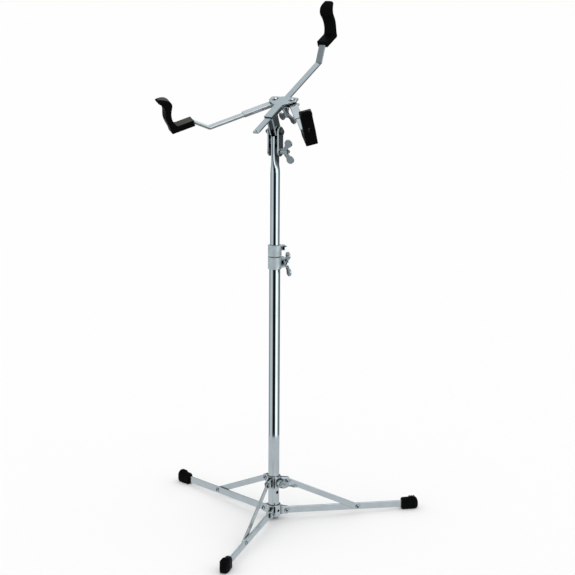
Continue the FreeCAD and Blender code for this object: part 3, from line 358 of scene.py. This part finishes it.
def moulded_rubber(name, grain, dust_and_sheen=False):
    """Black rubber with a fine moulded grain and rubbed edges, greyed on top by dust and by a painted
    sheen of the light overhead.
    """
    finish = bpy.context.scene.stand_finishes
    material, tree, shader = new_material(name)
    shader.inputs["Specular IOR Level"].default_value = RUBBER_MIRROR
    surface = add_node(tree, "ShaderNodeNewGeometry")
    cloud = own_noise(tree, scale=90.0, detail=5.0)
    pores = own_noise(tree, scale=grain, detail=2.0)
    rubbed = between(tree, surface.outputs["Pointiness"], 0.0, 1.0, start=0.56, end=0.66)
    worn = add_node(tree, "ShaderNodeMath", operation="MULTIPLY")
    tree.links.new(rubbed, worn.inputs[0])
    tree.links.new(cloud, worn.inputs[1])
    stops = ((WEAR_START, finish.rubber_dark), (WEAR_END, finish.rubber_scuff))
    colour = ramp(tree, worn.outputs["Value"], stops)
    # Faces that point up are greyed: dust, and a painted sheen of the light overhead
    if dust_and_sheen:
        lie = add_node(tree, "ShaderNodeSeparateXYZ")
        tree.links.new(surface.outputs["Normal"], lie.inputs["Vector"])
        grey = add_node(tree, "ShaderNodeMix", data_type="RGBA")
        grey.inputs["B"].default_value = (*finish.rubber_dust_and_sheen, 1)
        dust_sheen_share = between(tree, lie.outputs["Z"], 0.0, 1.0, start=0.72, end=0.93)
        tree.links.new(dust_sheen_share, grey.inputs["Factor"])
        tree.links.new(colour, grey.inputs["A"])
        colour = grey.outputs["Result"]
    tree.links.new(colour, shader.inputs["Base Color"])
    tree.links.new(between(tree, cloud, low=0.4, high=0.56), shader.inputs["Roughness"])
    tree.links.new(relief(tree, pores, depth=0.0002, strength=0.4), shader.inputs["Normal"])
    return material


def cloud_over(tree, shader, dark, lift, scale, smooth, rough):
    """Gives a dark surface a cloudy colour, lifted where it is lightest, and a cloudy roughness."""
    cloud = own_noise(tree, scale, detail=4.0)
    lighter = [min(1.0, part * lift) for part in dark]
    colour = ramp(tree, cloud, ((CLOUD_START, dark), (CLOUD_END, lighter)))
    tree.links.new(colour, shader.inputs["Base Color"])
    tree.links.new(between(tree, cloud, smooth, rough), shader.inputs["Roughness"])


def black_nylon(name):
    """Turned nylon with fine tool rings across its faces."""
    dark = bpy.context.scene.stand_finishes.nylon_dark
    material, tree, shader = new_material(name)
    cloud_over(tree, shader, dark, lift=1.8, scale=140.0, smooth=0.34, rough=0.5)
    rings = own_noise(tree, scale=900.0, detail=2.0, stretch=(1, 1, 6))
    tree.links.new(relief(tree, rings, depth=0.0001, strength=0.3), shader.inputs["Normal"])
    return material


def blackened_steel(name):
    """Oil blackened steel of the grip pins."""
    dark = bpy.context.scene.stand_finishes.pin_dark
    material, tree, shader = new_material(name)
    shader.inputs["Metallic"].default_value = PIN_METAL
    cloud_over(tree, shader, dark, lift=2.2, scale=300.0, smooth=0.3, rough=0.45)
    return material


def dress(names, material):
    """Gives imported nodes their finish."""
    for name in names:
        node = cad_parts.get(name)
        if node is None:
            raise RuntimeError(f"the packed model has no node named {name}")
        if not node.material_slots:
            node.data.materials.append(material)
        for slot in node.material_slots:
            slot.material = material


# Meshes

# How far a smoothing pass draws each point of a grip's skin to its neighbours
SMOOTH_SHARE = 0.5


def add_object(name, content):
    """A new object in the scene's own collection."""
    piece = bpy.data.objects.new(name, content)
    bpy.context.scene.collection.objects.link(piece)
    return piece


def baked_modifiers(piece):
    """Makes the piece's mesh what its modifiers show."""
    bpy.context.view_layer.update()
    seen = piece.evaluated_get(bpy.context.evaluated_depsgraph_get())
    mesh = bpy.data.meshes.new_from_object(seen)
    piece.modifiers.clear()
    piece.data = mesh


def moulded_grip(node, material):
    """A grip's skin: its solid with even faces, rounded as rubber comes from a mould."""
    form = bpy.context.scene.rubber_forms
    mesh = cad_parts[node].data.copy()
    mesh.name = f"{node}_rubber"
    piece = add_object(f"{node}_rubber", mesh)
    skin = piece.modifiers.new("even_skin", "REMESH")
    skin.mode = "VOXEL"
    skin.voxel_size = form.grip_voxel
    soft = piece.modifiers.new("soft_edges", "SMOOTH")
    soft.factor = SMOOTH_SHARE
    soft.iterations = form.grip_passes
    baked_modifiers(piece)
    piece.data.materials.clear()
    piece.data.materials.append(material)
    piece.data.polygons.foreach_set("use_smooth", [True] * len(piece.data.polygons))
    return piece


# Rounding of a foot's top, sides and sole at its two ends, as shares of the rounding's length
MOUTH_SHARES = (1.0, 0.5, 0.8)
NOSE_SHARES = (1.7, 0.5, 1.1)
# A foot's sections: the largest radius of the upper edges as a share of half the width, the steps round
# each, and the bevel of the sole's edges as a share of that radius
CORNER_LIMIT = 0.9
CORNER_STEPS = 4
BEVEL_SHARE = 0.3
# Places of the sections as shares of the mouth's rounding, of a rib's pitch with the rib's rise there, and
# of what is left after the last rib
MOUTH_PLACES = (0.0, 0.1, 0.3, 0.6, 1.0)
RIB_PLACES = ((0.0, 0.0), (0.18, 0.9), (0.26, 1.0), (0.42, 1.0), (0.5, 0.9), (0.68, 0.0))
NOSE_PLACES = (0.15, 0.4, 0.65, 0.82, 0.93, 1.0)
# How far a rib stands out of a foot's sides, as a share of its height, and how much of the last rib's
# pitch reaches into the nose's rounding
RIB_SIDE_SHARE = 0.4
RIB_NOSE_SHARE = 0.4


def boot_ring(half_width, height, corner, drop, draw, lift):
    """Section of a foot: rounded above, its top dropped, its sides drawn in and its sole lifted."""
    side = half_width - draw
    top = height - drop
    radius = min(corner, side * CORNER_LIMIT)
    bevel = radius * BEVEL_SHARE
    sole = [(-side + bevel, lift), (0.0, lift), (side - bevel, lift)]
    flank = [(side, lift + bevel), (side, (top + lift) / 2)]
    for step in range(CORNER_STEPS + 1):
        angle = math.pi / 2 * step / CORNER_STEPS
        flank.append((side - radius + radius * math.cos(angle), top - radius + radius * math.sin(angle)))
    mirrored = [(-across, up) for across, up in reversed(flank)]
    return [*sole, *flank, (0.0, top), *mirrored]


def boot_round(along, length, form):
    """How far a foot's top, sides and sole are rounded off at a place near its mouth or its nose."""
    rounded = Vector((0, 0, 0))
    for reach, radius, shares in ((form.mouth_round - along, form.mouth_round, MOUTH_SHARES),
                                  (along - length + form.nose_round, form.nose_round, NOSE_SHARES)):
        reach = max(0.0, min(reach, radius))
        rounded += (radius - math.sqrt(radius * radius - reach * reach)) * Vector(shares)
    return rounded


def boot_stations(length, form):
    """Places along a foot from its mouth to its nose, each with the height of the rib there."""
    stations = [(form.mouth_round * share, 0.0) for share in MOUTH_PLACES]
    ribs_start = length - form.nose_round - form.rib_pitch * (form.rib_count - RIB_NOSE_SHARE)
    for rib in range(form.rib_count):
        for share, rise in RIB_PLACES:
            stations.append((ribs_start + form.rib_pitch * (rib + share), form.rib_height * rise))
    ribs_end = stations[-1][0]
    for share in NOSE_PLACES:
        stations.append((ribs_end + (length - ribs_end) * share, 0.0))
    return stations


def rubber_boot(leg, material):
    """A foot: a ribbed rubber boot lofted along its leg, flat where it stands."""
    form = bpy.context.scene.rubber_forms
    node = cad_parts[f"foot_{leg}"]
    low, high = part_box(f"foot_{leg}")
    outward = Vector(((low.x + high.x) / 2, (low.y + high.y) / 2, 0)).normalized()
    across = Vector((-outward.y, outward.x, 0))
    runs = [corner.co.dot(outward) for corner in node.data.vertices]
    sides = [corner.co.dot(across) for corner in node.data.vertices]
    start = min(runs)
    length = max(runs) - start
    middle = (min(sides) + max(sides)) / 2
    half_width = (max(sides) - min(sides)) / 2
    shell = bmesh.new()
    rings = []
    for along, rib in boot_stations(length, form):
        drop, draw, lift = boot_round(along, length, form)
        section = boot_ring(half_width, high.z - low.z, form.foot_corner, drop - rib,
                            draw - rib * RIB_SIDE_SHARE, lift)
        ring = []
        for side, up in section:
            point = outward * (start + along) + across * (middle + side) + Vector((0, 0, low.z + up))
            ring.append(shell.verts.new(point))
        rings.append(ring)
    count = len(rings[0])
    for near, far in zip(rings, rings[1:]):
        for index in range(count):
            after = (index + 1) % count
            shell.faces.new((near[index], near[after], far[after], far[index]))
    shell.faces.new(list(reversed(rings[0])))
    shell.faces.new(rings[-1])
    bmesh.ops.recalc_face_normals(shell, faces=shell.faces)
    mesh = bpy.data.meshes.new(f"foot_{leg}_rubber")
    shell.to_mesh(mesh)
    shell.free()
    mesh.materials.append(material)
    mesh.polygons.foreach_set("use_smooth", [True] * len(mesh.polygons))
    return add_object(f"foot_{leg}_rubber", mesh)


# Studio

# Light round the column as the chrome shows it, below it, level with it and above it: degrees from
# the camera to its right, and strength
GROUND_BANDS = (
    (-180, 0.05), (-120, 0.05), (-100, 0.28), (-24, 0.30), (0, 0.05), (180, 0.05),
)
LEVEL_BANDS = (
    (-180, 0.02), (-172, 0.02), (-168, 0.90), (-150, 0.90), (-144, 0.30), (-100, 0.26), (-90, 0.56),
    (-62, 0.58), (-40, 0.46), (-31, 0.01), (20, 0.01), (28, 1.20), (66, 1.10), (80, 0.34), (104, 0.20),
    (116, 0.05), (146, 0.05), (152, 0.80), (173, 0.80), (177, 0.02), (180, 0.02),
)
UPPER_BANDS = (
    (-180, 0.52), (-112, 0.52), (-98, 0.28), (-62, 0.24), (-44, 0.05), (8, 0.04), (17, 1.00), (48, 1.00),
    (60, 0.26), (100, 0.26), (116, 0.52), (180, 0.52),
)
BAND_TINT = (0.88, 1.0, 1.05)
# Heights over which each ring of light gives way to the next, as the rise of a ray of length one
LEVEL_EDGE = (-0.42, -0.32)
UPPER_EDGE = (0.22, 0.34)
EAVES_EDGE = (0.78, 0.82)
ROOF_EDGE = (0.92, 0.95)
# Dark cards on the floor that only the chrome shows: near and far edge from the column in metres, and
# the degrees from the camera to its right that they span, which are drawn in even steps
FLOOR_CARDS = (
    (0.055, 0.105, 2, 26),
    (0.200, 0.270, -4, 20),
)
CARD_STEP = 6
DISC_SIDES = 96
# The camera's sensor in millimetres, and how far it sees in metres
SENSOR_WIDTH = 36.0
SIGHT = 500.0


def view_axes(view):
    """Level directions from the column to the camera, and to the camera's right."""
    facing = Vector((math.sin(view.turn), -math.cos(view.turn), 0))
    beside = Vector((math.cos(view.turn), math.sin(view.turn), 0))
    return facing, beside


def part_along(tree, way, axis):
    """How far a direction runs along an axis."""
    node = add_node(tree, "ShaderNodeVectorMath", operation="DOT_PRODUCT")
    node.inputs[1].default_value = axis
    tree.links.new(way, node.inputs[0])
    return node.outputs["Value"]


def sky_above(tree, sky, rise, edge):
    """A mix that keeps the sky below an edge, and takes what is put in its B above it."""
    mix = add_node(tree, "ShaderNodeMix", data_type="RGBA")
    tree.links.new(between(tree, rise, 0.0, 1.0, *edge), mix.inputs["Factor"])
    tree.links.new(sky, mix.inputs["A"])
    return mix


def studio_world(stage, view):
    """White light for the floor and the rubber, and banded soft boxes for what the metal shows."""
    world = bpy.data.worlds.new("studio")
    bpy.context.scene.world = world
    world.use_nodes = True
    world.cycles.sampling_method = "NONE"
    tree = world.node_tree
    white = tree.nodes["Background"]
    white.inputs["Color"].default_value = (1, 1, 1, 1)
    white.inputs["Strength"].default_value = stage.soft_light
    way = add_node(tree, "ShaderNodeTexCoord").outputs["Generated"]
    facing, beside = view_axes(view)
    angle = add_node(tree, "ShaderNodeMath", operation="ARCTAN2")
    share = add_node(tree, "ShaderNodeMapRange")
    share.inputs["From Min"].default_value = -math.pi
    share.inputs["From Max"].default_value = math.pi
    tree.links.new(part_along(tree, way, beside), angle.inputs[0])
    tree.links.new(part_along(tree, way, facing), angle.inputs[1])
    tree.links.new(angle.outputs["Value"], share.inputs["Value"])
    rings = []
    for bands in (GROUND_BANDS, LEVEL_BANDS, UPPER_BANDS):
        stops = [((turn + 180) / 360, [light * part for part in BAND_TINT]) for turn, light in bands]
        rings.append(ramp(tree, share.outputs["Result"], stops))
    height = add_node(tree, "ShaderNodeSeparateXYZ")
    tree.links.new(way, height.inputs["Vector"])
    sky, *higher_rings = rings
    for edge, ring in zip((LEVEL_EDGE, UPPER_EDGE), higher_rings):
        mix = sky_above(tree, sky, height.outputs["Z"], edge)
        tree.links.new(ring, mix.inputs["B"])
        sky = mix.outputs["Result"]
    for edge, shine in ((EAVES_EDGE, stage.eaves_shine), (ROOF_EDGE, stage.roof_shine)):
        mix = sky_above(tree, sky, height.outputs["Z"], edge)
        mix.inputs["B"].default_value = (*shine, 1)
        sky = mix.outputs["Result"]
    gloss = add_node(tree, "ShaderNodeBackground")
    tree.links.new(sky, gloss.inputs["Color"])
    either = add_node(tree, "ShaderNodeMixShader")
    tree.links.new(add_node(tree, "ShaderNodeLightPath").outputs["Is Glossy Ray"], either.inputs["Fac"])
    tree.links.new(white.outputs["Background"], either.inputs[1])
    tree.links.new(gloss.outputs["Background"], either.inputs[2])
    tree.links.new(either.outputs["Shader"], tree.nodes["World Output"].inputs["Surface"])


def disc(name, radius, height):
    """A level disc of the stage."""
    shape = bmesh.new()
    bmesh.ops.create_circle(shape, cap_ends=True, radius=radius, segments=DISC_SIDES)
    bmesh.ops.translate(shape, verts=shape.verts, vec=(0, 0, height))
    mesh = bpy.data.meshes.new(name)
    shape.to_mesh(mesh)
    shape.free()
    return add_object(name, mesh)


def floor_card(name, near, far, turns, view):
    """A strip of floor round the column, between two turns from the camera."""
    facing, beside = view_axes(view)
    shape = bmesh.new()
    edges = []
    for turn in turns:
        way = facing * math.cos(math.radians(turn)) + beside * math.sin(math.radians(turn))
        edges.append([shape.verts.new(way * reach + Vector((0, 0, cad_low.z))) for reach in (near, far)])
    for (near_start, far_start), (near_end, far_end) in zip(edges, edges[1:]):
        shape.faces.new((near_start, far_start, far_end, near_end))
    mesh = bpy.data.meshes.new(name)
    shape.to_mesh(mesh)
    shape.free()
    return add_object(name, mesh)


def seen_by_metal(piece):
    """Hides a piece of the stage from everything but reflections."""
    piece.visible_camera = False
    piece.visible_diffuse = False
    piece.visible_shadow = False


def studio_floor(stage, view):
    """The pale floor, the nearer part of it that the metal shows, and the dark cards on it."""
    floor = disc("studio_floor", stage.floor_radius, cad_low.z)
    material, _, shader = new_material("pale_floor")
    shader.inputs["Base Color"].default_value = (*stage.floor_colour, 1)
    shader.inputs["Roughness"].default_value = 1.0
    shader.inputs["Specular IOR Level"].default_value = 0.0
    floor.data.materials.append(material)
    floor.visible_glossy = False
    table = disc("studio_table", stage.table_radius, cad_low.z)
    material, tree, _ = new_material("table_shine")
    glow = add_node(tree, "ShaderNodeEmission")
    glow.inputs["Color"].default_value = (*stage.table_shine, 1)
    tree.links.new(glow.outputs["Emission"], tree.nodes["Material Output"].inputs["Surface"])
    table.data.materials.append(material)
    seen_by_metal(table)
    material, _, shader = new_material("dark_card")
    shader.inputs["Base Color"].default_value = (*stage.card_colour, 1)
    shader.inputs["Roughness"].default_value = 1.0
    for number, (near, far, start, end) in enumerate(FLOOR_CARDS, 1):
        turns = range(start, end + 1, CARD_STEP)
        card = floor_card(f"dark_card_{number}", near, far, turns, view)
        card.data.materials.append(material)
        card.location.z = stage.card_height
        seen_by_metal(card)


def photo_camera(view):
    """The camera, set by its place, its three turns and its lens."""
    right = Vector((math.cos(view.yaw), -math.sin(view.yaw), 0))
    ahead = Vector((
        math.sin(view.yaw) * math.cos(view.pitch),
        math.cos(view.yaw) * math.cos(view.pitch),
        -math.sin(view.pitch),
    ))
    above = right.cross(ahead)
    leaned = math.cos(view.roll) * right + math.sin(view.roll) * above
    upright = math.cos(view.roll) * above - math.sin(view.roll) * right
    axes = Matrix((leaned, upright, -ahead)).transposed().to_4x4()
    place = Matrix.Translation((0, -view.reach, view.height))
    lens = bpy.data.cameras.new("photo_camera")
    lens.sensor_width = SENSOR_WIDTH
    lens.lens = view.focal_length
    lens.clip_end = SIGHT
    camera = add_object("photo_camera", lens)
    camera.matrix_world = Matrix.Rotation(view.turn, 4, "Z") @ place @ axes
    bpy.context.scene.camera = camera


# Operators

class STAND_OT_tubes(bpy.types.Operator):
    """Polishes the two tubes of the column"""

    bl_idname = "stand.tubes"
    bl_label = "Polished tubes"

    def execute(self, context):
        polish = context.scene.stand_finishes.tube_polish
        drawn = plated_steel("polished_tube", polish, grain=420.0, depth=0.00002, stretch=(1, 1, 0.04))
        dress(TUBES, drawn)
        return {"FINISHED"}


class STAND_OT_flat_bars(bpy.types.Operator):
    """Finishes the legs, braces, arms and plates of rolled bar"""

    bl_idname = "stand.flat_bars"
    bl_label = "Plated flat bars"

    def execute(self, context):
        finish = context.scene.stand_finishes
        leg = plated_steel("plated_leg", finish.leg_polish, grain=520.0, depth=0.00003)
        dress(LEG_BARS, leg)
        bar = plated_steel("plated_bar", finish.bar_polish, grain=520.0, depth=0.00002)
        dress(BASKET_BARS, bar)
        arm = plated_steel("plated_arm", finish.bar_polish, grain=520.0, depth=0.00002, metal=0.82)
        dress(SWING_ARMS, arm)
        return {"FINISHED"}


class STAND_OT_pressings(bpy.types.Operator):
    """Finishes the hub, the collar and the two clamps"""

    bl_idname = "stand.pressings"
    bl_label = "Plated pressings"

    def execute(self, context):
        finish = context.scene.stand_finishes
        # The hub and the collar get deeper painted shade in their joints and round their lugs
        pressing = plated_steel("plated_pressing", finish.pressing_polish, grain=360.0, depth=0.00005,
                                crevice_shade_stops=(0.66, 1.0))
        dress(PRESSINGS, pressing)
        clamp = plated_steel("satin_clamp", finish.clamp_polish, grain=900.0, depth=0.0001,
                             shade=(0.90, 0.95, 0.96), metal=0.75)
        dress(CLAMPS, clamp)
        return {"FINISHED"}


class STAND_OT_wings(bpy.types.Operator):
    """Finishes the cast wing nuts and wing screws"""

    bl_idname = "stand.wings"
    bl_label = "Cast wings"

    def execute(self, context):
        polish = context.scene.stand_finishes.wing_polish
        casting = plated_steel("plated_casting", polish, grain=240.0, depth=0.00012,
                               shade=(0.85, 0.85, 0.85))
        dress(WINGS, casting)
        return {"FINISHED"}


class STAND_OT_fasteners(bpy.types.Operator):
    """Finishes rivets, bolts, nuts, the spacer and the grip pins"""

    bl_idname = "stand.fasteners"
    bl_label = "Rivets and bolts"

    def execute(self, context):
        polish = context.scene.stand_finishes.fastener_polish
        # Rivets and bolts get painted shade where their heads meet the plates
        bright = plated_steel("plated_fastener", polish, grain=700.0, depth=0.00003, crevice_shade_stops=(0.80, 1.0))
        dress(FASTENERS, bright)
        dress(GRIP_PINS, blackened_steel("blackened_pin"))
        return {"FINISHED"}


class STAND_OT_nylon(bpy.types.Operator):
    """Finishes the guide bush, the washers and the tube's end plug"""

    bl_idname = "stand.nylon"
    bl_label = "Nylon and plug"

    def execute(self, context):
        dress(NYLON_PIECES, black_nylon("black_nylon"))
        dress(("tube_end_plug",), moulded_rubber("plug_rubber", grain=1500.0))
        return {"FINISHED"}


class STAND_OT_grips(bpy.types.Operator):
    """Models the three rubber grips over the arms' ends"""

    bl_idname = "stand.grips"
    bl_label = "Rubber grips"

    def execute(self, context):
        # The swinging arms' grips are greyed on top by dust and a painted sheen; the sliding arm's grip is
        # not
        worn = moulded_rubber("dust_and_sheen_grip_rubber", grain=1400.0, dust_and_sheen=True)
        fresh = moulded_rubber("grip_rubber", grain=1400.0)
        for node, body in GRIPS.items():
            piece = moulded_grip(node, fresh if body == "sliding" else worn)
            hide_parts(node)
            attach(piece, body)
        return {"FINISHED"}


class STAND_OT_feet(bpy.types.Operator):
    """Models the three ribbed rubber feet"""

    bl_idname = "stand.feet"
    bl_label = "Rubber feet"

    def execute(self, context):
        rubber = moulded_rubber("foot_rubber", grain=1100.0)
        for leg in LEGS:
            piece = rubber_boot(leg, rubber)
            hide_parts(f"foot_{leg}")
            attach(piece, f"leg_{leg}")
        return {"FINISHED"}


class STAND_OT_stage(bpy.types.Operator):
    """Sets the floor, the soft light and the camera"""

    bl_idname = "stand.stage"
    bl_label = "White studio"

    def execute(self, context):
        scene = context.scene
        scene.view_settings.view_transform = "Standard"
        studio_floor(scene.studio_stage, scene.photo_view)
        studio_world(scene.studio_stage, scene.photo_view)
        photo_camera(scene.photo_view)
        return {"FINISHED"}


class STAND_PT_builder(bpy.types.Panel):
    """Lists the stand's pieces, finishes and studio."""

    bl_idname = "STAND_PT_builder"
    bl_label = "Snare drum stand"
    bl_space_type = "VIEW_3D"
    bl_region_type = "UI"
    bl_category = "Stand"

    def draw(self, context):
        for operator in OPERATORS:
            self.layout.operator(operator.bl_idname)
        for group in SETTINGS:
            box = self.layout.box()
            settings = getattr(context.scene, group)
            for name in settings.__annotations__:
                box.prop(settings, name)


SETTINGS = {
    "stand_finishes": StandFinishes,
    "rubber_forms": RubberForms,
    "studio_stage": StudioStage,
    "photo_view": PhotoView,
}
OPERATORS = (
    STAND_OT_tubes,
    STAND_OT_flat_bars,
    STAND_OT_pressings,
    STAND_OT_wings,
    STAND_OT_fasteners,
    STAND_OT_nylon,
    STAND_OT_grips,
    STAND_OT_feet,
    STAND_OT_stage,
)


def register():
    """Registers the settings, the operators and the panel."""
    for group, kind in SETTINGS.items():
        bpy.utils.register_class(kind)
        setattr(bpy.types.Scene, group, bpy.props.PointerProperty(type=kind))
    for kind in (*OPERATORS, STAND_PT_builder):
        bpy.utils.register_class(kind)


def unregister():
    """Takes the panel, the operators and the settings out again."""
    for kind in (STAND_PT_builder, *reversed(OPERATORS)):
        bpy.utils.unregister_class(kind)
    for group, kind in SETTINGS.items():
        delattr(bpy.types.Scene, group)
        bpy.utils.unregister_class(kind)


def main():
    """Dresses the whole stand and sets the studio."""
    register()
    bpy.ops.stand.tubes()
    bpy.ops.stand.flat_bars()
    bpy.ops.stand.pressings()
    bpy.ops.stand.wings()
    bpy.ops.stand.fasteners()
    bpy.ops.stand.nylon()
    bpy.ops.stand.grips()
    bpy.ops.stand.feet()
    bpy.ops.stand.stage()


if __name__ == "__main__":
    main()
